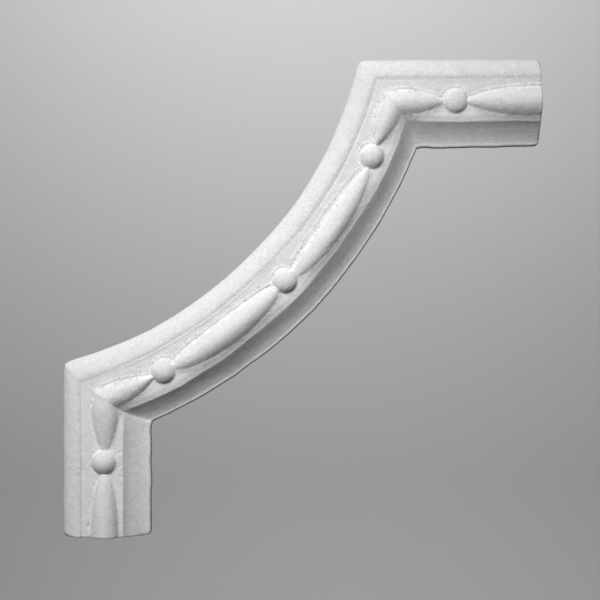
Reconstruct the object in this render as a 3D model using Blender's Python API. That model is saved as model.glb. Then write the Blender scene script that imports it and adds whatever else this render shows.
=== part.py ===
"""Panel moulding corner: one plaster casting, two straight legs joined by a scooped arc.

The corner lies flat on a wall. X runs to the right, Z up, and the front faces -Y. The back is the plane
Y = 0. The origin is on the back, behind the line of the ornament, half way along the arc.

A place on the moulding is given by three lengths: the run along the line of the ornament from the cut end
of the left leg, the offset across from the outer edge, and the height in front of the wall. The function
place turns them into X, Y and Z, with the bend of the arc and the two mitres.
"""

import math

import bmesh
import bpy
from mathutils import Matrix, Vector

MM = 0.001

# Plan of the outer edge, seen from the front
WIDTH = 281.7 * MM              # outer edge of the left leg to the cut end of the right leg
HEIGHT = 281.8 * MM             # outer edge of the right leg to the cut end of the left leg
LEFT_LEG = 103.1 * MM           # outer edge of the left leg, cut end to mitre
RIGHT_LEG = 106.5 * MM          # outer edge of the right leg, mitre to cut end
ARC_RISE = 34.6 * MM            # how far the arc's outer edge bows beyond its chord
MITRE_ROUNDING = 1.2 * MM       # how far the outer corner of a mitre is rubbed back
MITRE_ROUNDING_REACH = 6.0 * MM
END_ROUNDING = 3.0 * MM         # radius, in plan, of the corners of a cut end
ROUNDING_DEPTH = 8.0 * MM       # how far in from an edge a rounding is felt
SKEW_REACH = 30.0 * MM          # stretch beside a mitre where sections turn from square to mitred

# Section, as lengths across and heights in front of the wall
WALL_HEIGHT = 6.0 * MM          # plain outer side, up to where the rim starts to round over
RIM_OUTER = 8.8 * MM            # outer edge to the rim's crest
RIM_INNER = 3.2 * MM            # the rim's crest to the groove
RIM_HEIGHT = 12.9 * MM
RIM_FULLNESS = 1.6              # 2 gives a quarter of an ellipse, less is flatter, like a chamfer
GROOVE_WIDTH = 0.9 * MM
GROOVE_DEPTH = 0.3 * MM         # below the field
FIELD_WIDTH = 24.8 * MM         # groove to arris
FIELD_HEIGHT = 12.3 * MM
ARC_COVE = 12.4 * MM            # width of the hollow outside the arris, along the arc
LEFT_COVE = 15.6 * MM           # the same on the left leg
RIGHT_COVE = 14.8 * MM          # the same on the right leg
COVE_FOOT = 4.5 * MM            # height where the hollow ends
COVE_STEEP = math.radians(51)   # slope of the hollow at the arris
COVE_FLAT = math.radians(23)    # slope of the hollow at its foot
EDGE_RADIUS = 2.0 * MM          # round edge beyond the hollow

# Ornament
ORNAMENT_SHIFT = 0.8 * MM       # from the middle of the field towards the arris
BEAD_RADIUS = 7.4 * MM          # at the field
BEAD_RISE = 5.6 * MM            # above the field
BEAD_PITCH = 89.1 * MM          # along the arc, and the pitch of a whole repeat
BEAD_SHIFT = 1.0 * MM           # middle bead, beyond the middle of the arc
LEFT_BEAD = 44.1 * MM           # cut end of the left leg to its bead
RIGHT_BEAD = 50.4 * MM          # cut end of the right leg to its bead
SPINDLE_WIDTH = 15.8 * MM
SPINDLE_RISE = 5.8 * MM         # above the field
SPINDLE_SINK = 2.0 * MM         # how far a spindle reaches below the field, inside the casting
SPINDLE_TUCK = 1.4 * MM         # how far the tip of a spindle runs in under a bead
SPINDLE_TAPER = 0.56            # 0.5 gives an ellipse in plan, 1 a pointed leaf
END_SETBACK = 0.3 * MM          # a spindle stops this far short of the cut end

# Fineness of the faceted surface
ARC_STEPS = 36
RIM_STEPS = 5
COVE_STEPS = 6
EDGE_STEPS = 3
ROUNDING_STEPS = 3
BEAD_SIDES = 24
BEAD_RINGS = 12
SPINDLE_SIDES = 18
SPINDLE_RINGS = 18

PLASTER = (0.80, 0.80, 0.79, 1.0)
SHARP = math.radians(35)

# Widths added up across the section
RIM = RIM_OUTER + RIM_INNER
ARRIS = RIM + FIELD_WIDTH
ORNAMENT = RIM + FIELD_WIDTH / 2 + ORNAMENT_SHIFT

# The arc runs through the outer corners of the two mitres. Its centre is measured from the corner of the
# square that the outer edges of the legs would make: to the left of it, and above it.
LEFT_MITRE = Vector((0, LEFT_LEG - HEIGHT))
RIGHT_MITRE = Vector((WIDTH - RIGHT_LEG, 0))
CHORD = RIGHT_MITRE - LEFT_MITRE
ARC_RADIUS = (CHORD.length_squared / 4 + ARC_RISE**2) / (2 * ARC_RISE)
TOWARDS_CENTRE = Vector((-CHORD.y, CHORD.x)).normalized()
CENTRE = (LEFT_MITRE + RIGHT_MITRE) / 2 + TOWARDS_CENTRE * (ARC_RADIUS - ARC_RISE)
LEFT_OUTSET = -CENTRE.x
TOP_OUTSET = CENTRE.y


def leg_offset(offset, leg_cove):
    """The offset on a leg, whose hollow has a width of its own."""
    return offset + max(0.0, offset - ARRIS) * (leg_cove / ARC_COVE - 1)


def left_mitre(offset):
    """Angle below the horizontal, at the arc's centre, of the left mitre at this offset."""
    across = LEFT_OUTSET + leg_offset(offset, LEFT_COVE)
    return math.acos(across / (ARC_RADIUS + offset))


def right_mitre(offset):
    """The same angle of the right mitre."""
    down = TOP_OUTSET + leg_offset(offset, RIGHT_COVE)
    return math.asin(down / (ARC_RADIUS + offset))


# Lengths of the three stretches along the line of the ornament
LINE_RADIUS = ARC_RADIUS + ORNAMENT
LEFT_RUN = HEIGHT + TOP_OUTSET - LINE_RADIUS * math.sin(left_mitre(ORNAMENT))
ARC_RUN = LINE_RADIUS * (left_mitre(ORNAMENT) - right_mitre(ORNAMENT))
RIGHT_RUN = WIDTH + LEFT_OUTSET - LINE_RADIUS * math.cos(right_mitre(ORNAMENT))
ARC_START = LEFT_RUN
ARC_END = LEFT_RUN + ARC_RUN
FULL_RUN = LEFT_RUN + ARC_RUN + RIGHT_RUN


def skew(distance):
    """1 at a mitre, falling to 0 where the sections are square again."""
    return max(0.0, 1 - distance / SKEW_REACH)


def rounding(run, offset, from_mitre):
    """How much the edges are drawn in at this place by the rounding of the mitres and the cut ends."""
    from_end = min(run, FULL_RUN - run)
    end = 0.0
    if from_end < END_ROUNDING:
        end = END_ROUNDING - math.sqrt(END_ROUNDING**2 - (END_ROUNDING - from_end) ** 2)
    mitre = MITRE_ROUNDING * max(0.0, 1 - from_mitre / MITRE_ROUNDING_REACH) ** 2
    near_outer = max(0.0, 1 - offset / ROUNDING_DEPTH)
    near_inner = max(0.0, 1 - (ARRIS + ARC_COVE - offset) / ROUNDING_DEPTH)
    return max(end, mitre) * near_outer - end * near_inner


def plan(run, offset):
    """Where a run and an offset lie, from the arc's centre, and how far that is from the nearest mitre."""
    radius = ARC_RADIUS + offset
    left, right = left_mitre(offset), right_mitre(offset)
    if run < ARC_START:
        short = ARC_START - run
        middle = -LINE_RADIUS * math.sin(left_mitre(ORNAMENT))
        corner = -radius * math.sin(left)
        up = middle - short + skew(short) * (corner - middle)
        return LEFT_OUTSET + leg_offset(offset, LEFT_COVE), up, corner - up
    if run > ARC_END:
        beyond = run - ARC_END
        middle = LINE_RADIUS * math.cos(right_mitre(ORNAMENT))
        corner = radius * math.cos(right)
        across = middle + beyond + skew(beyond) * (corner - middle)
        return across, -TOP_OUTSET - leg_offset(offset, RIGHT_COVE), across - corner
    angle = left_mitre(ORNAMENT) - (run - ARC_START) / LINE_RADIUS
    angle += skew(run - ARC_START) * (left - left_mitre(ORNAMENT))
    angle += skew(ARC_END - run) * (right - right_mitre(ORNAMENT))
    from_mitre = radius * min(left - angle, angle - right)
    return radius * math.cos(angle), -radius * math.sin(angle), from_mitre


ORIGIN = plan((ARC_START + ARC_END) / 2, ORNAMENT)


def place(run, offset, height):
    """The point at this run along, offset across and height in front of the wall."""
    from_mitre = plan(run, offset)[2]
    across, up, _ = plan(run, offset + rounding(run, offset, from_mitre))
    return Vector((across - ORIGIN[0], -height, up - ORIGIN[1]))


def section():
    """The closed outline of the section as (offset, height), from the back of the outer edge round."""
    outline = [(0.0, 0.0)]
    for step in range(RIM_STEPS + 1):
        turn = math.pi / 2 * step / RIM_STEPS
        rise = (RIM_HEIGHT - WALL_HEIGHT) * math.sin(turn) ** (2 / RIM_FULLNESS)
        outline.append((RIM_OUTER * (1 - math.cos(turn) ** (2 / RIM_FULLNESS)), WALL_HEIGHT + rise))
    groove = FIELD_HEIGHT - GROOVE_DEPTH
    for step in range(1, RIM_STEPS + 1):
        share = step / RIM_STEPS
        fall = (RIM_HEIGHT - groove) * math.cos(math.pi / 2 * share)
        outline.append((RIM_OUTER + RIM_INNER * share, groove + fall))
    outline.append((RIM + GROOVE_WIDTH, FIELD_HEIGHT))

    edge = min(EDGE_RADIUS, COVE_FOOT)
    hollow = ARC_COVE - edge
    for step in range(COVE_STEPS + 1):
        slope = COVE_STEEP + (COVE_FLAT - COVE_STEEP) * step / COVE_STEPS
        out = (math.sin(COVE_STEEP) - math.sin(slope)) / (math.sin(COVE_STEEP) - math.sin(COVE_FLAT))
        down = (math.cos(slope) - math.cos(COVE_STEEP)) / (math.cos(COVE_FLAT) - math.cos(COVE_STEEP))
        outline.append((ARRIS + hollow * out, FIELD_HEIGHT - (FIELD_HEIGHT - COVE_FOOT) * down))
    for step in range(1, EDGE_STEPS + 1):
        turn = math.pi / 2 * step / EDGE_STEPS
        outline.append((ARRIS + hollow + edge * math.sin(turn), COVE_FOOT - edge * (1 - math.cos(turn))))
    outline.append((ARRIS + ARC_COVE, 0.0))
    return outline


def stations():
    """The runs at which the section is set: close together at the roundings, even along the arc."""
    ends = [END_ROUNDING * (step / ROUNDING_STEPS) ** 2 for step in range(ROUNDING_STEPS + 1)]
    corner = [MITRE_ROUNDING_REACH * step / ROUNDING_STEPS for step in range(ROUNDING_STEPS + 1)]
    along_arc = [ARC_START + ARC_RUN * step / ARC_STEPS for step in range(ARC_STEPS + 1)]
    reach = MITRE_ROUNDING_REACH
    runs = set(ends)
    runs.update(FULL_RUN - run for run in ends)
    runs.update((ARC_START - SKEW_REACH, ARC_END + SKEW_REACH))
    for run in corner:
        runs.update((ARC_START - run, ARC_START + run, ARC_END - run, ARC_END + run))
    runs.update(run for run in along_arc if ARC_START + reach < run < ARC_END - reach)
    return sorted(runs)


def new_object(name, bm, collection, material):
    """Close a bmesh into a named object with its material, smooth but for its real edges."""
    bmesh.ops.recalc_face_normals(bm, faces=bm.faces)
    mesh = bpy.data.meshes.new(name)
    bm.to_mesh(mesh)
    bm.free()
    mesh.shade_smooth()
    mesh.set_sharp_from_angle(angle=SHARP)
    mesh.materials.append(material)
    made = bpy.data.objects.new(name, mesh)
    collection.objects.link(made)
    return made


def moulding_body():
    """The bare moulding: its section pulled along the left leg, the arc and the right leg."""
    outline = section()
    runs = stations()
    bm = bmesh.new()
    corner_number = bm.verts.layers.int.new("corner_number")
    corners = [bm.verts.new(place(runs[0], *point)) for point in outline]
    for number, vert in enumerate(corners):
        vert[corner_number] = number
    bm.faces.new(corners)
    edges = list(bm.edges)
    for run in runs[1:]:
        grown = bmesh.ops.extrude_edge_only(bm, edges=edges)["geom"]
        edges = [part for part in grown if isinstance(part, bmesh.types.BMEdge)]
        for vert in grown:
            if isinstance(vert, bmesh.types.BMVert):
                vert.co = place(run, *outline[vert[corner_number]])
    bmesh.ops.holes_fill(bm, edges=edges)
    return bm


def bead(run):
    """A ball sunk in the field, so that it meets it at BEAD_RADIUS."""
    ball = (BEAD_RADIUS**2 + BEAD_RISE**2) / (2 * BEAD_RISE)
    centre = place(run, ORNAMENT, FIELD_HEIGHT + BEAD_RISE - ball)
    bm = bmesh.new()
    bmesh.ops.create_uvsphere(bm, u_segments=BEAD_SIDES, v_segments=BEAD_RINGS, radius=ball)
    facing_out = Matrix.Translation(centre) @ Matrix.Rotation(math.pi / 2, 4, "X")
    bmesh.ops.transform(bm, matrix=facing_out, verts=bm.verts)
    return bm


def spindle(start, middle, end):
    """A long olive from start to end along the run, broadest at the middle, bent with the moulding."""
    bm = bmesh.new()
    bmesh.ops.create_uvsphere(bm, u_segments=SPINDLE_SIDES, v_segments=SPINDLE_RINGS, radius=1)
    for vert in bm.verts:
        across, up, along = vert.co
        girth = max(1e-6, 1 - along**2)
        across *= SPINDLE_WIDTH / 2 * girth ** (SPINDLE_TAPER - 0.5)
        up *= SPINDLE_RISE if up > 0 else SPINDLE_SINK
        run = middle + along * (end - middle if along > 0 else middle - start)
        vert.co = (run, across, up)
    for cut, outwards in ((END_SETBACK, -1), (FULL_RUN - END_SETBACK, 1)):
        olive = [*bm.verts, *bm.edges, *bm.faces]
        there, facing = (cut, 0, 0), (outwards, 0, 0)
        bmesh.ops.bisect_plane(bm, geom=olive, plane_co=there, plane_no=facing, clear_outer=True)
        bmesh.ops.holes_fill(bm, edges=[edge for edge in bm.edges if edge.is_boundary])
    for vert in bm.verts:
        run, across, up = vert.co
        vert.co = place(run, ORNAMENT + across, FIELD_HEIGHT + up)
    return bm


def ornament():
    """Name and bmesh of each raised form: five beads, with a spindle between and beyond them."""
    arc_middle = (ARC_START + ARC_END) / 2 + BEAD_SHIFT
    beads = [LEFT_BEAD, arc_middle - BEAD_PITCH, arc_middle, arc_middle + BEAD_PITCH, FULL_RUN - RIGHT_BEAD]
    for number, run in enumerate(beads, 1):
        yield f"bead_{number}", bead(run)
    stops = [beads[0] - BEAD_PITCH, *beads, beads[-1] + BEAD_PITCH]
    for number, (before, after) in enumerate(zip(stops, stops[1:]), 1):
        start = before + BEAD_RADIUS - SPINDLE_TUCK
        end = after - BEAD_RADIUS + SPINDLE_TUCK
        mitres = [mitre for mitre in (ARC_START, ARC_END) if start < mitre < end]
        middle = mitres[0] if mitres else (start + end) / 2
        yield f"spindle_{number}", spindle(start, middle, end)


def plaster():
    """Bare white casting plaster: matt, slightly off white."""
    material = bpy.data.materials.new("plaster")
    material.use_nodes = True
    shader = material.node_tree.nodes["Principled BSDF"]
    shader.inputs["Base Color"].default_value = PLASTER
    shader.inputs["Roughness"].default_value = 0.9
    shader.inputs["Metallic"].default_value = 0.0
    return material


def main():
    for old in list(bpy.data.objects):
        bpy.data.objects.remove(old, do_unlink=True)
    part = bpy.data.collections.new("panel_moulding_corner")
    raised = bpy.data.collections.new("raised_ornament")
    bpy.context.scene.collection.children.link(part)
    bpy.context.scene.collection.children.link(raised)
    material = plaster()

    corner = new_object("moulding_corner", moulding_body(), part, material)
    for name, bm in ornament():
        form = new_object(name, bm, raised, material)
        form.hide_render = True
        form.display_type = "WIRE"
    cast = corner.modifiers.new("cast in one with the ornament", "BOOLEAN")
    cast.operation = "UNION"
    cast.operand_type = "COLLECTION"
    cast.collection = raised
    cast.solver = "EXACT"


main()
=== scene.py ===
# %% [markdown]
# # A plaster corner for wall panel moulding
#
# The real object is one casting of white plaster. Two short straight legs are joined by a scooped arc, and
# beads and long spindles run along the field of the moulding. It was cast in an open mould, so its back is
# flat, its front is slightly wavy, and small air bubbles have left pits along the edges of the ornament.
#
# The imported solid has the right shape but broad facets. This lesson makes a fine skin for it: one closed
# mesh, folded from a flat grid, with its own plaster finish.

import math

import bmesh
import bpy
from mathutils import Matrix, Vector, kdtree, noise


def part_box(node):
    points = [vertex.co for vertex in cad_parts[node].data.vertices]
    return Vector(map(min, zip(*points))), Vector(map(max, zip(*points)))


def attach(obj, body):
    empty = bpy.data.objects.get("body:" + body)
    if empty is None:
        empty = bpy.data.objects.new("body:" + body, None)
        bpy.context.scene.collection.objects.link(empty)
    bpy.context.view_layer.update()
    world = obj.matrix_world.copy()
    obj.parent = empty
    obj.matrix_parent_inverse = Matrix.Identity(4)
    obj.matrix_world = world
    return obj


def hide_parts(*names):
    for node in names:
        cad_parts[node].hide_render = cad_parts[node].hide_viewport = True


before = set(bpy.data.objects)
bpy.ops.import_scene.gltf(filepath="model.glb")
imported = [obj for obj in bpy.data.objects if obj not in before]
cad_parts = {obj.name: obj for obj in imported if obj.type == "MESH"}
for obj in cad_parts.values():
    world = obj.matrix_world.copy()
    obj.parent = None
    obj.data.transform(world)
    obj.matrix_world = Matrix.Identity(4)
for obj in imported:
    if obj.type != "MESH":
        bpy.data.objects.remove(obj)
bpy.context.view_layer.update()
low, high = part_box("moulding_corner")
print("the solid reaches from", [round(v, 4) for v in low], "to", [round(v, 4) for v in high])

# %% [markdown]
# ## The plan
#
# Seen from the front, the outer edge of the casting is two straight lines and an arc that passes through
# both outer mitre corners. The box of the solid gives the outer edges and the cut ends, so only the lengths
# of the legs and the bow of the arc are written here. The arc's centre and radius follow from them.

# %% Sizes of the plan
MM = 0.001
LEFT_LEG = 103.1 * MM
RIGHT_LEG = 106.5 * MM
ARC_RISE = 34.6 * MM

left_edge, right_end = low.x, high.x
left_end, top_edge = low.z, high.z
left_mitre_corner = Vector((left_edge, left_end + LEFT_LEG))
right_mitre_corner = Vector((right_end - RIGHT_LEG, top_edge))
chord = right_mitre_corner - left_mitre_corner
ARC_RADIUS = (chord.length_squared / 4 + ARC_RISE**2) / (2 * ARC_RISE)
towards_centre = Vector((-chord.y, chord.x)).normalized()
centre = (left_mitre_corner + right_mitre_corner) / 2 + towards_centre * (ARC_RADIUS - ARC_RISE)
print("arc radius", round(ARC_RADIUS / MM, 1), "mm about", [round(v / MM, 1) for v in centre])

# %% [markdown]
# ## The section
#
# A plasterer knows this moulding by its section: a plain side, a rounded rim that falls softly inwards, a
# flat field for the ornament, a sharp arris, and a hollow that runs down to a thin rounded edge. Each part
# is a curve with a few sizes, and the curves are sampled closely enough for a smooth skin.

# %% Sizes of the section
WALL_HEIGHT = 6.0 * MM
RIM_OUTER = 9.4 * MM
RIM_INNER = 2.6 * MM
RIM_HEIGHT = 12.75 * MM
RIM_FULLNESS = 1.6              # 2 is a quarter of an ellipse, less is flatter like a chamfer
FIELD_WIDTH = 24.8 * MM
FIELD_HEIGHT = 12.3 * MM
ARC_COVE = 12.4 * MM
LEFT_COVE = 15.6 * MM
RIGHT_COVE = 14.8 * MM
COVE_STEEP = math.radians(51)
COVE_FLAT = math.radians(23)
EDGE_RADIUS = 2.0 * MM

RIM = RIM_OUTER + RIM_INNER
ARRIS = RIM + FIELD_WIDTH
FULL_WIDTH = ARRIS + ARC_COVE
COVE_CURVE = (ARC_COVE - EDGE_RADIUS) / (math.sin(COVE_STEEP) - math.sin(COVE_FLAT))
COVE_FOOT = FIELD_HEIGHT - COVE_CURVE * (math.cos(COVE_FLAT) - math.cos(COVE_STEEP))
ORNAMENT_SHIFT = 0.8 * MM
ORNAMENT = RIM + FIELD_WIDTH / 2 + ORNAMENT_SHIFT
for name, offset in (("field", RIM), ("ornament", ORNAMENT), ("arris", ARRIS), ("inner edge", FULL_WIDTH)):
    print(name, "at", round(offset / MM, 1), "mm from the outer edge")

# %% The section as a row of points
def shares(count):
    """Even steps from just after 0 up to 1."""
    return [step / count for step in range(1, count + 1)]


def rim_points(steps_out, steps_in):
    """The rim: rounded up from the wall to its crest, and a soft fall to the field."""
    for share in [0.0] + shares(steps_out):
        turn = math.pi / 2 * share
        rise = (RIM_HEIGHT - WALL_HEIGHT) * math.sin(turn) ** (2 / RIM_FULLNESS)
        yield RIM_OUTER * (1 - math.cos(turn) ** (2 / RIM_FULLNESS)), WALL_HEIGHT + rise
    for share in shares(steps_in):
        fall = (RIM_HEIGHT - FIELD_HEIGHT) * (1 + math.cos(math.pi * share)) / 2
        yield RIM_OUTER + RIM_INNER * share, FIELD_HEIGHT + fall


def field_points(steps):
    """The flat field, up to the arris."""
    for share in shares(steps):
        yield RIM + FIELD_WIDTH * share, FIELD_HEIGHT


def hollow_points(steps, steps_edge):
    """The hollow, a stretch of a circle, and the rounded edge beyond it."""
    hollow = ARC_COVE - EDGE_RADIUS
    for share in shares(steps):
        slope = COVE_STEEP + (COVE_FLAT - COVE_STEEP) * share
        out = COVE_CURVE * (math.sin(COVE_STEEP) - math.sin(slope))
        down = COVE_CURVE * (math.cos(slope) - math.cos(COVE_STEEP))
        yield ARRIS + out, FIELD_HEIGHT - down
    for share in shares(steps_edge):
        turn = math.pi / 2 * share
        yield ARRIS + hollow + EDGE_RADIUS * math.sin(turn), COVE_FOOT - EDGE_RADIUS * (1 - math.cos(turn))


SIDE_STEPS, RIM_STEPS, FIELD_STEPS, HOLLOW_STEPS, EDGE_STEPS = 5, (15, 10), 56, (24, 6), 3
section = [(0.0, WALL_HEIGHT * step / SIDE_STEPS) for step in range(SIDE_STEPS)]
section += rim_points(*RIM_STEPS)
section += field_points(FIELD_STEPS)
section += hollow_points(*HOLLOW_STEPS)
section += [(FULL_WIDTH, (COVE_FOOT - EDGE_RADIUS) * (1 - share)) for share in shares(EDGE_STEPS)]
print(len(section), "points across the section")

# %% [markdown]
# ## Along the moulding
#
# A place on the moulding is a run along the line of the ornament, an offset across from the outer edge, and
# a height in front of the wall. On the legs the sections stand square, on the arc they point to its centre,
# and beside a mitre they turn gradually from one to the other, so that both sides meet on the mitre line.

# %% How far the lines of the casting drift
# Millimetres away from the outer edge, measured on the casting at even stations along each run. The lines
# are the outer edge, the foot of the rim, the middle of the ornament, the arris and the inner edge.
LINES = (0.0, RIM, ORNAMENT, ARRIS, FULL_WIDTH)
LEFT_LEG_DRIFT = [(0.0, 0.0, -0.4, -0.7, 0.1), (0.0, 0.0, -0.4, -1.0, 0.1), (0.0, -0.4, -0.2, -1.0, 0.0)]
ARC_DRIFT = [
    (0.2, 3.0, 2.0, 1.8, 2.2),
    (0.8, 2.2, 1.0, 1.8, 1.7),
    (0.3, 1.8, 0.2, 1.4, 1.3),
    (0.0, 1.1, 0.4, 0.6, 1.4),
    (0.5, 1.5, 1.2, 0.5, 0.3),
    (0.2, 1.6, 1.1, 0.4, -0.1),
    (-0.9, 1.2, -0.2, 0.1, -0.1),
]
RIGHT_LEG_DRIFT = [(0.5, 1.2, 0.3, 0.9, 1.1), (0.0, 1.1, 0.2, 0.8, 1.1), (0.0, 0.4, 0.0, 0.8, 0.1)]


def between(values, place):
    """The value at this place, counted in steps from the first of evenly spaced values."""
    step = min(max(int(place), 0), len(values) - 2)
    return values[step] + (values[step + 1] - values[step]) * (place - step)


def drift(stations, share, offset):
    """The drift at this share of a run, for a line at this offset."""
    at_lines = [between(line, share * (len(stations) - 1)) for line in zip(*stations)]
    line = max(n for n in range(len(LINES) - 1) if n == 0 or offset > LINES[n])
    part = (offset - LINES[line]) / (LINES[line + 1] - LINES[line])
    return (at_lines[line] + (at_lines[line + 1] - at_lines[line]) * part) * MM


print("the foot of the rim drifts by", ARC_DRIFT[0][1], "mm where the arc starts")

# %% The two mitres and the three runs
left_outset = left_edge - centre.x
top_outset = centre.y - top_edge
line_radius = ARC_RADIUS + ORNAMENT
SKEW_REACH = 30.0 * MM


def left_leg(offset, share):
    """Distance to the right of the arc's centre at this share of the left leg."""
    wider = max(0.0, offset - ARRIS) * (LEFT_COVE / ARC_COVE - 1)
    return left_outset + offset + wider + drift(LEFT_LEG_DRIFT, share, offset)


def right_leg(offset, share):
    """Distance below the arc's centre at this share of the right leg."""
    wider = max(0.0, offset - ARRIS) * (RIGHT_COVE / ARC_COVE - 1)
    return top_outset + offset + wider + drift(RIGHT_LEG_DRIFT, share, offset)


def arc(offset, share):
    """Distance from the arc's centre at this share of the arc."""
    return ARC_RADIUS + offset + drift(ARC_DRIFT, share, offset)


def left_mitre(offset):
    """Angle below the horizontal of the left mitre at this offset, seen from the arc's centre."""
    return math.acos(left_leg(offset, 1) / arc(offset, 0))


def right_mitre(offset):
    """The same angle of the right mitre."""
    return math.asin(right_leg(offset, 0) / arc(offset, 1))


line_left = math.acos((left_outset + ORNAMENT) / line_radius)
line_right = math.asin((top_outset + ORNAMENT) / line_radius)
ARC_START = centre.y - line_radius * math.sin(line_left) - left_end
ARC_END = ARC_START + line_radius * (line_left - line_right)
FULL_RUN = ARC_END + right_end - centre.x - line_radius * math.cos(line_right)
print("runs in mm:", [round(v / MM, 1) for v in (ARC_START, ARC_END, FULL_RUN)])

# %% Where a run and an offset lie
def skew(distance):
    """1 at a mitre, falling to 0 where the sections are square again."""
    return max(0.0, 1 - distance / SKEW_REACH)


def plan(run, offset):
    """The point on the wall at this run and offset, and its distance from the nearest mitre."""
    left, right = left_mitre(offset), right_mitre(offset)
    if run < ARC_START:
        short = ARC_START - run
        corner = -arc(offset, 0) * math.sin(left)
        middle = -line_radius * math.sin(line_left)
        up = middle - short + skew(short) * (corner - middle)
        return centre + Vector((left_leg(offset, run / ARC_START), up)), corner - up
    if run > ARC_END:
        beyond = run - ARC_END
        corner = arc(offset, 1) * math.cos(right)
        middle = line_radius * math.cos(line_right)
        across = middle + beyond + skew(beyond) * (corner - middle)
        return centre + Vector((across, -right_leg(offset, beyond / (FULL_RUN - ARC_END)))), across - corner
    angle = line_left - (run - ARC_START) / line_radius
    angle += skew(run - ARC_START) * (left - line_left)
    angle += skew(ARC_END - run) * (right - line_right)
    radius = arc(offset, (run - ARC_START) / (ARC_END - ARC_START))
    from_mitre = radius * min(left - angle, angle - right)
    return centre + radius * Vector((math.cos(angle), -math.sin(angle))), from_mitre


print("half way along the arc:", [round(v / MM, 1) for v in plan((ARC_START + ARC_END) / 2, ORNAMENT)[0]])

# %% [markdown]
# ## The ornament
#
# Five beads sit on the field. Between them lie spindles, long olives whose tips run in under the beads. The
# two spindles at the corners are bent over the mitre, and the two at the cut ends are sawn through. No two
# in a cast pattern are quite alike, so each bead and each spindle has its own sizes in a table.

# %% Beads
BEAD_RADIUS = 7.4 * MM
BEAD_FLATNESS = 2.2             # 2 is round on top, more is flatter
# Each bead's rise, and its steepness: 0.5 stands upright at the edge, more leans in.
BEADS = [(4.6 * MM, 0.82), (4.4 * MM, 0.74), (4.6 * MM, 0.72), (4.3 * MM, 0.82), (3.6 * MM, 0.66)]
BEAD_PITCH = 89.1 * MM
BEAD_SHIFT = 1.0 * MM
LEFT_BEAD = 44.1 * MM
RIGHT_BEAD = 50.4 * MM
LAST_BEAD_SHIFT = -0.1 * MM     # towards the rim

middle_bead = (ARC_START + ARC_END) / 2 + BEAD_SHIFT
arc_beads = [middle_bead - BEAD_PITCH, middle_bead, middle_bead + BEAD_PITCH]
bead_runs = [LEFT_BEAD, *arc_beads, FULL_RUN - RIGHT_BEAD]
bead_centres = [plan(run, ORNAMENT)[0] for run in bead_runs[:-1]]
bead_centres.append(plan(bead_runs[-1], ORNAMENT + LAST_BEAD_SHIFT)[0])


def bead_rise(point):
    """Height of the nearest bead over the field, and the distance beyond its edge."""
    away, bead = min(((point - middle).length, number) for number, middle in enumerate(bead_centres))
    full_rise, steepness = BEADS[bead]
    rise = 0.0
    if away < BEAD_RADIUS:
        rise = full_rise * (1 - (away / BEAD_RADIUS) ** BEAD_FLATNESS) ** steepness
    return rise, away - BEAD_RADIUS


print("beads at", [[round(v / MM, 1) for v in bead] for bead in bead_centres])

# %% Spindles
SPINDLE_TUCK = 1.9 * MM         # how far a tip runs in under the bead
SOFTER_RIM_SIDE = 0.2           # added to the flank of the side that faces the rim
# Millimetres: breadth before and after the broadest place, rise, how far the crest leans towards the arris,
# how far the spindle is shifted and its start bent that way, and how far from the spindle the ridge on its
# rim side lies. Bluntness at the start and at the end: 0.5 is an ellipse, less is blunter, 1 is pointed.
# Slope, at both ends: how late the crest reaches its height. Flank: 0.5 is round, 1 is flatter.
TRAITS = ("breadth", "blunt", "slope", "rise", "flank", "lean", "shift", "bend", "ridge")
SPINDLES = [dict(zip(TRAITS, row)) for row in (
    ((16.6, 16.6), (0.50, 0.45), (0.55, 0.60), 5.7, 0.70, 0.0, 0.0, 0.0, 1.3),
    ((17.2, 16.2), (0.60, 0.90), (0.95, 0.60), 5.4, 0.68, 0.0, 0.0, 0.0, 1.5),
    ((16.6, 16.6), (0.42, 0.40), (0.55, 0.45), 5.5, 0.85, 0.7, -0.2, 0.0, 1.3),
    ((14.9, 14.9), (0.32, 0.60), (0.50, 0.70), 4.6, 0.72, 0.4, 0.9, 0.6, 2.4),
    ((16.9, 16.9), (0.78, 0.75), (0.60, 0.80), 5.6, 0.85, 0.0, -0.3, -0.8, 1.2),
    ((18.0, 18.0), (0.65, 0.50), (0.60, 0.60), 5.7, 0.80, 0.4, -0.85, 0.3, 1.0),
)]
CORNER_CUT = 2.6 * MM           # how far the outer corner of a mitred spindle is rounded off
CORNER_REACH = 6.5 * MM
BREADTH_BLEND = 6.0 * MM        # either side of the broadest place
COMMON_BREADTH = 15.0           # millimetres; a broader spindle's middle moves by a quarter of the rest

stops = [bead_runs[0] - BEAD_PITCH, *bead_runs, bead_runs[-1] + BEAD_PITCH]
for spindle, before, after in zip(SPINDLES, stops, stops[1:]):
    start = before + BEAD_RADIUS - SPINDLE_TUCK
    end = after - BEAD_RADIUS + SPINDLE_TUCK
    mitres = [mitre for mitre in (ARC_START, ARC_END) if start < mitre < end]
    spindle["from"], spindle["to"], spindle["mitred"] = start, end, bool(mitres)
    spindle["broadest"] = mitres[0] if mitres else (start + end) / 2


def smooth_step(value, start, end):
    """0 at start, 1 at end, and smooth between."""
    share = min(max((value - start) / (end - start), 0.0), 1.0)
    return share * share * (3 - 2 * share)


def bell(distance, reach):
    """1 here, falling away on both sides over this reach."""
    return math.exp(-((distance / reach) ** 2))


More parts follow.
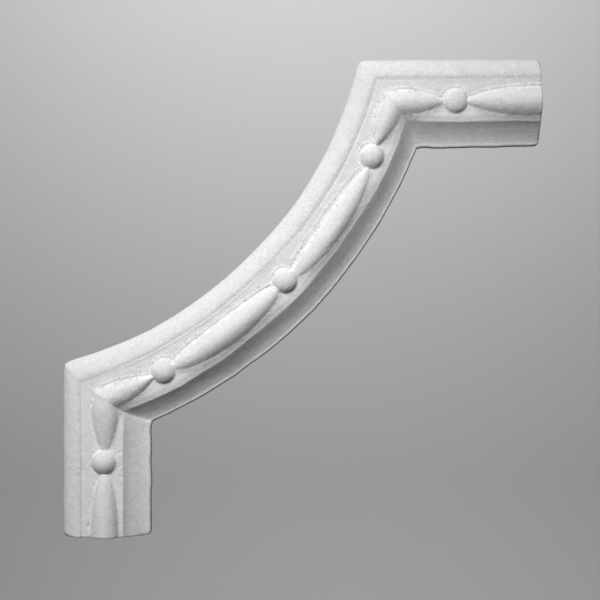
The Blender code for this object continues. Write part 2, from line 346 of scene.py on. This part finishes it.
def spindle_at(run):
    """The spindle that passes this run: its middle, half breadth and crest height here, and its row."""
    spindle = next((row for row in SPINDLES if row["from"] < run < row["to"]), None)
    if spindle is None:
        return None
    after = run > spindle["broadest"]
    tip = spindle["to" if after else "from"]
    along = abs(run - spindle["broadest"]) / abs(tip - spindle["broadest"])
    left_over = 1 - along * along
    later = smooth_step(run - spindle["broadest"], -BREADTH_BLEND, BREADTH_BLEND)
    breadth = spindle["breadth"][0] * (1 - later) + spindle["breadth"][1] * later
    bend = 0.0 if after else spindle["bend"] * math.sqrt(along)
    half = breadth / 2 * MM * left_over ** spindle["blunt"][after]
    middle = ORNAMENT + (spindle["shift"] + bend + (breadth - COMMON_BREADTH) / 4) * MM
    if spindle["mitred"]:
        cut = CORNER_CUT * bell(run - spindle["broadest"], CORNER_REACH)
        middle, half = middle + cut / 2, half - cut / 2
    return middle, half, spindle["rise"] * MM * left_over ** spindle["slope"][after], spindle


def spindle_rise(offset, middle, half, crest, spindle):
    """Height of a spindle over the field at this offset."""
    share = (offset - middle) / half
    if abs(share) >= 1:
        return 0.0
    lean = spindle["lean"] * MM / (spindle["breadth"][0] / 2 * MM)
    across = (share - lean) / (1 - lean if share > lean else 1 + lean)
    flank = spindle["flank"] + (SOFTER_RIM_SIDE if across < 0 else 0.0)
    return crest * (1 - across * across) ** flank


for spindle in SPINDLES:
    length = round((spindle["to"] - spindle["from"]) / MM, 1)
    print("a spindle", length, "mm long and", spindle["rise"], "mm high")

# %% [markdown]
# ## What the casting adds
#
# A real casting is never as true as its drawing. The edges wander a little, the surfaces are gently uneven,
# and the cut ends and the outer mitre corners are rubbed round. On the arris side the ornament stands on a
# soft foot, and on the rim side a ragged ridge runs beside it. Smooth noise makes the wander and the ragged
# places. Each pattern has a length, over which it changes, and a number, so that no two are alike.

# %% Patterns of noise
PATTERNS = {                    # length in millimetres, and the pattern's number
    "outer edge": (11, 1.5),
    "inner edge": (15, 4.5),
    "ragged inner edge": (4, 6.5),
    "sway": (17, 8.5),
    "ragged": (2.5, 11.5),
    "broad": (14, 21.5),
    "small": (4, 25.5),
    "fine": (1.5, 28.5),
    "crumbs": (1.3, 31.5),
    "ridge": (5, 33.5),
    "crust": (1.1, 35.5),
    "crusty patches": (11, 37.5),
}


def waver(pattern, run, offset=0.0):
    """Smooth noise from -1 to 1 at this place."""
    length, number = PATTERNS[pattern]
    return noise.noise(Vector((run / (length * MM), offset / (length * MM), number)))


print(len(PATTERNS), "patterns, the finest over", min(PATTERNS.values())[0], "mm")

# %% Rounded corners and wandering edges
END_ROUNDING = 3.0 * MM
END_SOFTNESS = 0.7 * MM
MITRE_ROUNDING = 1.0 * MM
MITRE_ROUNDING_REACH = 8.0 * MM
ROUNDING_DEPTH = 8.0 * MM
OUTER_WANDER = 0.12 * MM
INNER_WANDER = 0.35 * MM
INNER_RAGGEDNESS = 0.16 * MM
SWAY = 0.3 * MM                 # of the lines in the middle of the section


def quarter_round(distance, radius):
    """How far a rounded corner of this radius has drawn in at this distance from the end."""
    if distance >= radius:
        return 0.0
    return radius - math.sqrt(radius**2 - (radius - distance) ** 2)


def drawn_in(run, offset, from_mitre):
    """How much an edge is drawn in here: positive moves away from the outer edge."""
    end = quarter_round(min(run, FULL_RUN - run), END_ROUNDING)
    mitre = MITRE_ROUNDING * max(0.0, 1 - from_mitre / MITRE_ROUNDING_REACH) ** 2
    near_outer = max(0.0, 1 - offset / ROUNDING_DEPTH)
    near_inner = max(0.0, 1 - (FULL_WIDTH - offset) / ROUNDING_DEPTH)
    outer = max(end, mitre) + OUTER_WANDER * (1 + waver("outer edge", run))
    inner = end + INNER_WANDER * (1 + waver("inner edge", run))
    inner += INNER_RAGGEDNESS * (1 + waver("ragged inner edge", run))
    middle = (1 - near_outer) * (1 - near_inner)
    return outer * near_outer - inner * near_inner + middle * SWAY * waver("sway", run)


print("the corner of the cut end is drawn in by", round(drawn_in(0.0, 0.0, FULL_RUN) / MM, 1), "mm")

# %% The relief over the field
BEAD_FOOT = (0.4 * MM, 0.7 * MM)                # rise at the ornament's edge, and reach
LEG_FOOT = (0.6 * MM, 0.9 * MM)                 # the spindles of the left leg
SPINDLE_FOOT = (1.5 * MM, 2.4 * MM)
FOOT_BLEND = 2.5                # more makes a sharper corner where the ornament leaves its foot
FULL_FOOT = 6.0 * MM            # half breadth from which a spindle has its whole foot
FOOT_RAGGEDNESS = 0.2           # share of the foot that comes and goes
SIDE_BLEND = 3.0 * MM           # either side of the crest
LEG_BLEND = 3.0 * MM            # either side of the left mitre
LEG_CLEANNESS = 0.5             # how much of the ridge and its crumbs is missing on the left leg
RIDGE_RISE = 0.38 * MM
RIDGE_LEAST, RIDGE_VARIES = 0.3, 0.9                # shares of the rise
RIDGE_REACH = 0.70 * MM
RIDGE_WANDER = 0.45 * MM        # to either side
BEAD_RIDGE = 1.3 * MM           # away from a bead's edge
CRUMBLE = 0.22 * MM             # roughness of the ridges
VALLEY_DEPTH = 0.10 * MM
VALLEY_REACH = 0.8 * MM
CRUST = 0.26 * MM               # roughness of the crusty patches at the ornament's edge
CRUST_SINK = 0.3                # share of it that lies below the surface
CRUSTY_FROM, CRUSTY_TO = -0.05, 0.3                 # of the noise that spreads the patches
FAR_SIDE = 0.4                  # share of crust and air holes that the arris side has
EDGE_REACH = 1.5 * MM           # how far from the ornament's edge crust and air holes go


def foot(size, beyond):
    """Height of the soft foot that the ornament stands on, at this distance beyond its edge."""
    height, reach = size
    return height * math.exp(-max(beyond, 0.0) / reach)


def past_left_mitre(run):
    """0 on the left leg and 1 on the arc and the right leg, with a soft change at the mitre."""
    return smooth_step(run - ARC_START, -LEG_BLEND, LEG_BLEND)


def relief(run, offset, point, here):
    """Height over the field at this place, and how crowded air holes and crumbs are, from 0 to 1."""
    rise, beyond = bead_rise(point)
    arris_foot = foot(BEAD_FOOT, beyond)
    middle, ridge_away = ORNAMENT, BEAD_RIDGE
    if here:
        middle, half, crest, spindle = here
        rise = max(rise, spindle_rise(offset, middle, half, crest, spindle))
        beyond_spindle = abs(offset - middle) - half
        wide, narrow = foot(SPINDLE_FOOT, beyond_spindle), foot(LEG_FOOT, beyond_spindle)
        spindle_foot = narrow + (wide - narrow) * past_left_mitre(run)
        arris_foot = max(arris_foot, min(1.0, half / FULL_FOOT) * spindle_foot)
        if beyond_spindle < beyond:
            beyond, ridge_away = beyond_spindle, spindle["ridge"] * MM
    rim_side = smooth_step(middle - offset, -SIDE_BLEND, SIDE_BLEND)
    ragged = 0.5 + 0.5 * waver("ragged", run, offset)
    base = arris_foot * (1 - rim_side) * (1 - FOOT_RAGGEDNESS + FOOT_RAGGEDNESS * ragged)
    rise = (rise**FOOT_BLEND + base**FOOT_BLEND) ** (1 / FOOT_BLEND)
    cleaner = 1 - LEG_CLEANNESS * (1 - past_left_mitre(run))
    ridge = RIDGE_RISE * (RIDGE_LEAST + RIDGE_VARIES * ragged) + CRUMBLE * waver("crumbs", run, offset)
    ridge_away += RIDGE_WANDER * waver("ridge", run)
    rise += rim_side * ridge * cleaner * bell(beyond - ridge_away, RIDGE_REACH)
    rise -= rim_side * VALLEY_DEPTH * 2 * ragged * bell(beyond, VALLEY_REACH)
    closeness = math.exp(-abs(beyond) / EDGE_REACH)
    share_here = FAR_SIDE + (1 - FAR_SIDE) * rim_side
    crusty = smooth_step(waver("crusty patches", run, offset), CRUSTY_FROM, CRUSTY_TO) * share_here
    rise += crusty * closeness * CRUST * (waver("crust", run, offset) - CRUST_SINK)
    return rise, closeness * cleaner * share_here


top_of_bead = relief(LEFT_BEAD, ORNAMENT, bead_centres[0], None)[0]
print("the first bead stands", round(top_of_bead / MM, 1), "mm over the field")

# %% The tooled line, the strip at the arris and the start of the hollow
# Both lists have nine even stations, from the left cut end to the right one. The depths of the line between
# rim and field are in millimetres, and below 0 it is choked with plaster. The eases are changes of slope.
GROOVE_DEPTHS = [0.70, 0.70, -0.20, -0.32, -0.1, 0.25, 0.30, -0.06, -0.04]
GROOVE_HALF = 0.55 * MM
HOLLOW_EASES = [-0.35, -0.20, 0.20, 0.36, 0.42, 0.52, 0.46, 0.05, 0.10]
HOLLOW_EASE_REACH = 2.8 * MM
STRIP_WIDTH = 3.8 * MM
STRIP_SLOPE = math.tan(math.radians(14))
STRIP_EASE = 0.3                # share of the strip where it bends down


def at_run(values, run):
    """The value at this run, of values at even stations along the whole moulding."""
    return between(values, run / FULL_RUN * (len(values) - 1))


def groove(run, offset):
    """Depth of the thin line between rim and field."""
    return at_run(GROOVE_DEPTHS, run) * MM * bell(offset - RIM, GROOVE_HALF)


def strip_drop(run, offset):
    """How far the last strip of the field has leaned down. On the left leg it stays flat."""
    share = min(max((offset - (ARRIS - STRIP_WIDTH)) / STRIP_WIDTH, 0.0), 1.0)
    bent = share * share / (2 * STRIP_EASE) if share < STRIP_EASE else share - STRIP_EASE / 2
    return STRIP_SLOPE * STRIP_WIDTH * bent * past_left_mitre(run)


def hollow_ease(run, offset):
    """The hollow starts less steeply here (positive) or more steeply (negative)."""
    beyond = offset - ARRIS
    if beyond <= 0:
        return 0.0
    return at_run(HOLLOW_EASES, run) * beyond * math.exp(-beyond / HOLLOW_EASE_REACH)


print("on the arc the arris lies", round(strip_drop(FULL_RUN / 2, ARRIS) / MM, 2), "mm below the field")

# %% Air holes, crumbs and unevenness
# Air holes (negative) and crumbs of plaster (positive): run, offset and height in millimetres.
BLEMISHES = [
    (6.5, 15.5, -0.4), (35.5, 35.4, -0.5), (42.0, 35.5, -0.4), (50.0, 35.0, -0.4), (84.0, 15.4, -0.5),
    (87.0, 15.8, -0.4), (110.0, 16.5, -0.4), (112.0, 17.5, -0.3), (129.5, 23.5, -0.4), (130.5, 24.6, -0.4),
    (138.0, 26.2, -0.3), (140.5, 27.0, -0.3), (147.0, 17.0, -0.5), (150.0, 17.1, -0.4), (154.0, 16.9, -0.5),
    (157.5, 17.0, -0.4), (200.5, 21.0, -0.4), (201.5, 24.0, -0.4), (202.5, 27.5, -0.4), (219.5, 25.0, -0.5),
    (219.8, 30.2, -0.4), (221.5, 31.0, -0.4), (241.0, 31.5, -0.3), (245.0, 32.2, -0.3), (249.0, 32.8, -0.3),
    (326.0, 16.5, -0.4), (328.0, 28.2, -0.4), (331.0, 15.4, -0.4), (335.0, 16.4, -0.5), (356.0, 30.5, -0.4),
    (363.0, 19.0, -0.4), (364.6, 20.6, -0.4), (392.5, 16.4, -0.4), (398.0, 15.8, -0.4), (401.5, 15.4, -0.4),
    (408.0, 14.3, -0.3), (410.5, 14.6, -0.3), (38.5, 9.3, 0.3), (41.5, 9.8, 0.3), (290.5, 25.5, 0.3),
]
BLEMISH_RADIUS = 0.7 * MM
BLEMISH_LIMIT = 3 * BLEMISH_RADIUS
SURFACE_SINK = 0.22 * MM        # keeps the waves below the true surface
BROAD_WAVES, SMALL_WAVES, FINE_WAVES = 0.11 * MM, 0.10 * MM, 0.07 * MM
blemish_map = kdtree.KDTree(len(BLEMISHES))
for number, (run, offset, _) in enumerate(BLEMISHES):
    blemish_map.insert((run * MM, offset * MM, 0.0), number)
blemish_map.balance()


def blemish(run, offset):
    """Height added or taken away by the air holes and crumbs near this place."""
    near = blemish_map.find_range((run, offset, 0.0), BLEMISH_LIMIT)
    return sum(BLEMISHES[n][2] * MM * math.exp(-((away / BLEMISH_RADIUS) ** 2)) for _, n, away in near)


def unevenness(run, offset):
    """The gentle waves of a hand-filled mould."""
    waves = BROAD_WAVES * waver("broad", run, offset)
    waves += SMALL_WAVES * waver("small", run, offset)
    waves += FINE_WAVES * waver("fine", run, offset)
    return waves - SURFACE_SINK


print(len(BLEMISHES), "air holes and crumbs placed by hand")

# %% [markdown]
# ## Folding the skin
#
# The skin starts as one flat grid. Its columns are folded round the section and its rows are laid along the
# moulding. Then the folds at the mitres are rubbed soft. The two long edges lie on the wall line and are
# bridged to close the back, and the two cut ends are filled. That leaves one closed mesh with even,
# four-sided faces along the whole front.

# %% Rows along the moulding
# The rows crowd together at the cut ends, where the edges are rounded.
ROW_STEP = 0.67 * MM
end_rows = [0.0, 0.06 * MM, 0.18 * MM, 0.36 * MM, 0.7 * MM, 1.15 * MM, 1.7 * MM, 2.3 * MM, 3.0 * MM]


def stretch(start, end):
    """Even rows after start, up to and including end."""
    count = round((end - start) / ROW_STEP)
    return [start + (end - start) * share for share in shares(count)]


rows = end_rows + stretch(end_rows[-1], ARC_START) + stretch(ARC_START, ARC_END)
rows += stretch(ARC_END, FULL_RUN - end_rows[-1]) + [FULL_RUN - run for run in reversed(end_rows[:-1])]
print(len(rows), "rows along the moulding")

# %% Fold the grid
RUBBED_FROM, RUBBED_TO = 3.5 * MM, FULL_WIDTH - 2.5 * MM    # offsets between which a mitre is rubbed
skin = bmesh.new()
last_row, last_column = len(rows) - 1, len(section) - 1
bmesh.ops.create_grid(skin, x_segments=last_row, y_segments=last_column, size=1)
ornament_edge = skin.verts.layers.float.new("ornament_edge")
on_long_edge = set()
mitre_distance = {}
for vert in skin.verts:
    run = rows[round((vert.co.x + 1) / 2 * last_row)]
    column = round((vert.co.y + 1) / 2 * last_column)
    true_offset, height = section[column]
    if column in (0, last_column):
        on_long_edge.add(vert)
    from_mitre = plan(run, true_offset)[1]
    if RUBBED_FROM < true_offset < RUBBED_TO:
        mitre_distance[vert] = abs(from_mitre)
    offset = true_offset + drawn_in(run, true_offset, from_mitre)
    point = plan(run, offset)[0]
    if height > 0:
        share = height / RIM_HEIGHT
        height -= strip_drop(run, true_offset) * min(1.0, height / COVE_FOOT)
        height += hollow_ease(run, true_offset) * min(1.0, height / COVE_FOOT)
        if RIM < true_offset < ARRIS:
            rise, vert[ornament_edge] = relief(run, offset, point, spindle_at(run))
            height += rise
        height += share * (unevenness(run, offset) + blemish(run, offset) - groove(run, offset))
        height -= share * quarter_round(min(run, FULL_RUN - run), END_SOFTNESS)
    vert.co = (point.x, -height, point.y)
print(len(skin.verts), "points folded")

# %% Rub the mitres soft
SOFT_MITRES = ((7.0 * MM, 10), (4.0 * MM, 24))      # reach to either side, and how many rubs
RUB = 0.5                       # share of the way to the middle of the neighbours
for reach, rubs in SOFT_MITRES:
    near_mitre = [vert for vert, distance in mitre_distance.items() if distance < reach]
    for _ in range(rubs):
        bmesh.ops.smooth_vert(skin, verts=near_mitre, factor=RUB, use_axis_y=True)
    print(len(near_mitre), "points rubbed within", round(reach / MM, 1), "mm of a mitre")

# %% Close the back and the ends
ML = 1e-6
long_edges = [edge for edge in skin.edges if edge.is_boundary and on_long_edge.issuperset(edge.verts)]
bmesh.ops.bridge_loops(skin, edges=long_edges)
bmesh.ops.holes_fill(skin, edges=[edge for edge in skin.edges if edge.is_boundary])
bmesh.ops.recalc_face_normals(skin, faces=skin.faces)
print("open edges:", sum(edge.is_boundary for edge in skin.edges))
print("volume:", round(skin.calc_volume() / ML), "ml")

# %% [markdown]
# ## The object
#
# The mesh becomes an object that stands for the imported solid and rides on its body. Its place is in its
# vertices, so the object itself stays at the origin. Only the edges round the back and the ends stay crisp.

# %% Make the object
CRISP_ANGLE = math.radians(60)
casting_mesh = bpy.data.meshes.new("plaster_casting")
skin.to_mesh(casting_mesh)
skin.free()
casting_mesh.shade_smooth()
casting_mesh.set_sharp_from_angle(angle=CRISP_ANGLE)
casting = bpy.data.objects.new("plaster_casting", casting_mesh)
bpy.context.scene.collection.objects.link(casting)
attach(casting, "root")
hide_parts("moulding_corner")
print(sum(len(face.vertices) - 2 for face in casting_mesh.polygons), "triangles")

# %% [markdown]
# ## Shader maths
#
# A finish is a small sum of patterns. To write it as a sum, a class wraps one socket of a node, and each of
# Python's operators on it adds a Math node. Every other node comes from one function.

# %% A socket that can be added and multiplied
class Shade:
    """One output socket of a material. Sums and products with it become Math nodes."""

    def __init__(self, tree, socket):
        self.tree = tree
        self.socket = socket

    def maths(self, operation, *values):
        """A Math node for this sum, with its values in order."""
        return node(self.tree, "ShaderNodeMath", {"operation": operation}, dict(enumerate(values)))

    def __add__(self, other):
        return self.maths("ADD", self, other)

    def __sub__(self, other):
        return self.maths("SUBTRACT", self, other)

    def __rsub__(self, other):
        return self.maths("SUBTRACT", other, self)

    def __mul__(self, other):
        return self.maths("MULTIPLY", self, other)

    __radd__ = __add__
    __rmul__ = __mul__

    def band(self, start, end):
        """0 at start, 1 at end, and smooth between. End may be the smaller."""
        sockets = {"Value": self, "From Min": start, "From Max": end}
        return node(self.tree, "ShaderNodeMapRange", {"interpolation_type": "SMOOTHSTEP"}, sockets)


def node(tree, kind, settings, sockets, output=0):
    """A new node: its settings first, then a value or a link for each socket named."""
    made = tree.nodes.new(kind)
    for name, value in settings.items():
        setattr(made, name, value)
    for name, value in sockets.items():
        if isinstance(value, Shade):
            tree.links.new(value.socket, made.inputs[name])
        else:
            made.inputs[name].default_value = value
    return Shade(tree, made.outputs[output])


# %% [markdown]
# ## The plaster
#
# Bare casting plaster is a soft, dead white. Close to, it has a powdery grain, slightly darker blooms where
# it dried unevenly, and pinholes from air bubbles, most of them close to the edges of the ornament, where
# white crumbs cling too. It has no gloss. The grain and the pinholes are bump, because they are finer than
# the skin, and the pinholes are also darkened with painted shade.

# %% Sizes and colours of the plaster
BLOOM_SIZE, MOTTLE_SIZE, GRAIN_SIZE, POWDER_SIZE = 16 * MM, 3.5 * MM, 1.1 * MM, 0.55 * MM
PINHOLE_PITCH = 1.3 * MM
PINHOLE_PATCHES = 5 * MM
CHALK_PATCHES = 9 * MM
WHITE = (0.86, 0.86, 0.85, 1.0)
DULL = (0.70, 0.70, 0.69, 1.0)
DUST = (0.60, 0.60, 0.59, 1.0)
CHALK = (0.97, 0.97, 0.96, 1.0)
# painted shade: the dark colour laid into the pinholes
SHADOW = (0.30, 0.30, 0.29, 1.0)
SPREAD_HOLES = 0.12             # how crowded the pinholes are away from the ornament
BUMP_STRENGTH, BUMP_DISTANCE = 0.75, 0.3 * MM
GLOSS = 0.25
COLOUR_A, COLOUR_B, COLOUR_OUT = 6, 7, 2            # the colour sockets of a Mix node
print("the powder changes over", round(POWDER_SIZE / MM, 2), "mm")


# %% The plaster finish
def plaster():
    """Blooms, mottle and powder on white, then chalky crumbs, and painted shade in the pinholes near the
    ornament.
    """
    material = bpy.data.materials.new("casting_plaster")
    material.use_nodes = True
    tree = material.node_tree
    shader = tree.nodes["Principled BSDF"]
    place = node(tree, "ShaderNodeTexCoord", {}, {}, output="Object")

    def speckle(size, detail, roughness=0.6):
        sockets = {"Vector": place, "Scale": 1 / size, "Detail": detail, "Roughness": roughness}
        return node(tree, "ShaderNodeTexNoise", {}, sockets, output="Fac")

    def laid_on(under, over, amount):
        sockets = {"Factor": amount, COLOUR_A: under, COLOUR_B: over}
        return node(tree, "ShaderNodeMix", {"data_type": "RGBA"}, sockets, output=COLOUR_OUT)

    bloom = speckle(BLOOM_SIZE, 3)
    mottle = speckle(MOTTLE_SIZE, 4)
    grain = speckle(GRAIN_SIZE, 3, 0.7)
    powder = speckle(POWDER_SIZE, 2)
    near_ornament = node(tree, "ShaderNodeAttribute", {"attribute_name": "ornament_edge"}, {}, output="Fac")
    on_ridge = near_ornament.band(0.20, 0.38) * near_ornament.band(0.85, 0.60)

    cell_sockets = {"Vector": place, "Scale": 1 / PINHOLE_PITCH}
    cells = node(tree, "ShaderNodeTexVoronoi", {}, cell_sockets, output="Distance")
    crowding = speckle(PINHOLE_PATCHES, 2).band(0.46, 0.60) * (SPREAD_HOLES + near_ornament)
    pinholes = cells.band(0.32, 0.16) * crowding.band(0.05, 0.55)
    crumbs = on_ridge * grain.band(0.46, 0.60) * speckle(CHALK_PATCHES, 2).band(0.40, 0.56)

    bloomed = laid_on(WHITE, DULL, bloom.band(0.45, 0.75) * 0.3 + mottle.band(0.4, 0.7) * 0.55)
    dusty = laid_on(bloomed, DUST, powder.band(0.35, 0.65) * 0.8)
    chalky = laid_on(dusty, CHALK, crumbs * 0.9)
    # painted shade in the pinholes, a dark colour where shade falls inside the air holes
    shaded_pinholes = laid_on(chalky, SHADOW, pinholes * 0.7)
    tree.links.new(shaded_pinholes.socket, shader.inputs["Base Color"])
    tree.links.new((0.84 + mottle * 0.14).socket, shader.inputs["Roughness"])

    relief_height = mottle * 0.5 + grain + powder * 0.5 - pinholes * 2.0
    uneven = {"Strength": BUMP_STRENGTH, "Distance": BUMP_DISTANCE, "Height": relief_height}
    bump = node(tree, "ShaderNodeBump", {}, uneven, output="Normal")
    tree.links.new(bump.socket, shader.inputs["Normal"])
    shader.inputs["Specular IOR Level"].default_value = GLOSS
    shader.inputs["Metallic"].default_value = 0.0
    print("the plaster has", len(tree.nodes), "nodes")
    return material


casting_mesh.materials.append(plaster())

# %% [markdown]
# ## The studio
#
# A pale sweep, floor and backdrop in one sheet, stays well away from the casting, which can then be seen
# from behind. A softbox with a grid on it stands above and a little to the left, high enough to rake across
# the relief. The grid narrows its light, so that the casting is a little darker towards its ends. The air
# of the room fills the shadows a little, and a second light, turned away from the casting, brightens the
# backdrop alone.

# %% Floor and backdrop
FLOOR_DROP = 1.2
SWEEP_RADIUS = 0.8
SWEEP_START = 1.5
SWEEP_HALF_WIDTH = 4.0
FLOOR_FRONT = 3.5
BACKDROP_RISE = 2.0
BEND_STEPS = 24
PAPER = (0.52, 0.52, 0.52, 1.0)
PAPER_ROUGHNESS = 0.95


def edges_of(geometry):
    """The edges alone, of what a mesh operation gives."""
    return [part for part in geometry if isinstance(part, bmesh.types.BMEdge)]


def pull_out(mesh, edges, move):
    """Draw a sheet out of these edges by this move, and give its far edges."""
    drawn = bmesh.ops.extrude_edge_only(mesh, edges=edges)["geom"]
    corners = [part for part in drawn if isinstance(part, bmesh.types.BMVert)]
    bmesh.ops.translate(mesh, vec=move, verts=corners)
    return edges_of(drawn)


sweep = bmesh.new()
sides = (-SWEEP_HALF_WIDTH, SWEEP_HALF_WIDTH)
front_corners = [sweep.verts.new((side, -FLOOR_FRONT, -FLOOR_DROP)) for side in sides]
front_edge = sweep.edges.new(front_corners)
edge = pull_out(sweep, [front_edge], (0, FLOOR_FRONT + SWEEP_START, 0))[0]
bent = bmesh.ops.spin(
    sweep, geom=[edge, *edge.verts], cent=(0, SWEEP_START, SWEEP_RADIUS - FLOOR_DROP), axis=(1, 0, 0),
    angle=math.pi / 2, steps=BEND_STEPS,
)["geom_last"]
pull_out(sweep, edges_of(bent), (0, 0, BACKDROP_RISE))
bmesh.ops.recalc_face_normals(sweep, faces=sweep.faces)
sweep_mesh = bpy.data.meshes.new("studio_sweep")
sweep.to_mesh(sweep_mesh)
sweep.free()
sweep_mesh.shade_smooth()
studio_sweep = bpy.data.objects.new("studio_sweep", sweep_mesh)
bpy.context.scene.collection.objects.link(studio_sweep)

paper = bpy.data.materials.new("sweep_paper")
paper.use_nodes = True
paper_inputs = paper.node_tree.nodes["Principled BSDF"].inputs
paper_inputs["Base Color"].default_value = PAPER
paper_inputs["Roughness"].default_value = PAPER_ROUGHNESS
sweep_mesh.materials.append(paper)
print("the sweep lies", FLOOR_DROP, "m below the middle of the casting")

# %% Camera
# The photograph looks straight at the wall from about 0.83 m, and its middle is this point on the wall.
CAMERA_DISTANCE = 0.830
VIEW_MIDDLE = Vector((9.8 * MM, 0.0, -11.0 * MM))
VIEW_WIDTH = 357.4 * MM
camera_data = bpy.data.cameras.new("camera")
camera_data.lens = camera_data.sensor_width * CAMERA_DISTANCE / VIEW_WIDTH
camera = bpy.data.objects.new("camera", camera_data)
camera.location = VIEW_MIDDLE - Vector((0, CAMERA_DISTANCE, 0))
camera.rotation_euler = (math.pi / 2, 0, 0)
bpy.context.scene.collection.objects.link(camera)
bpy.context.scene.camera = camera
print("lens", round(camera_data.lens, 1), "mm")

# %% Lights
# Places and sizes are in metres.
AIR = 0.02
GRID_SPREAD = math.radians(53)


def soft_light(name, place, aim, size, power, spread=math.pi):
    """A square area light at place, turned to face aim. A small spread is a softbox with a grid on it."""
    data = bpy.data.lights.new(name, "AREA")
    data.size = size
    data.energy = power
    data.spread = spread
    light = bpy.data.objects.new(name, data)
    light.location = place
    light.rotation_euler = (Vector(aim) - Vector(place)).to_track_quat("-Z", "Y").to_euler()
    light.visible_camera = False
    bpy.context.scene.collection.objects.link(light)
    print(name, "of", power, "W")


soft_light(
    "key_light", place=(-0.22, -0.74, 0.60), aim=(-0.015, 0, -0.005),
    size=0.4, power=1.30, spread=GRID_SPREAD,
)
soft_light("backdrop_light", place=(0, 0.8, 1.3), aim=(0, 2.3, 0.5), size=1.2, power=40)

world = bpy.data.worlds.new("studio_air")
world.use_nodes = True
air = world.node_tree.nodes["Background"].inputs
air["Color"].default_value = (1, 1, 1, 1)
air["Strength"].default_value = AIR
bpy.context.scene.world = world
bpy.context.scene.view_settings.view_transform = "Standard"
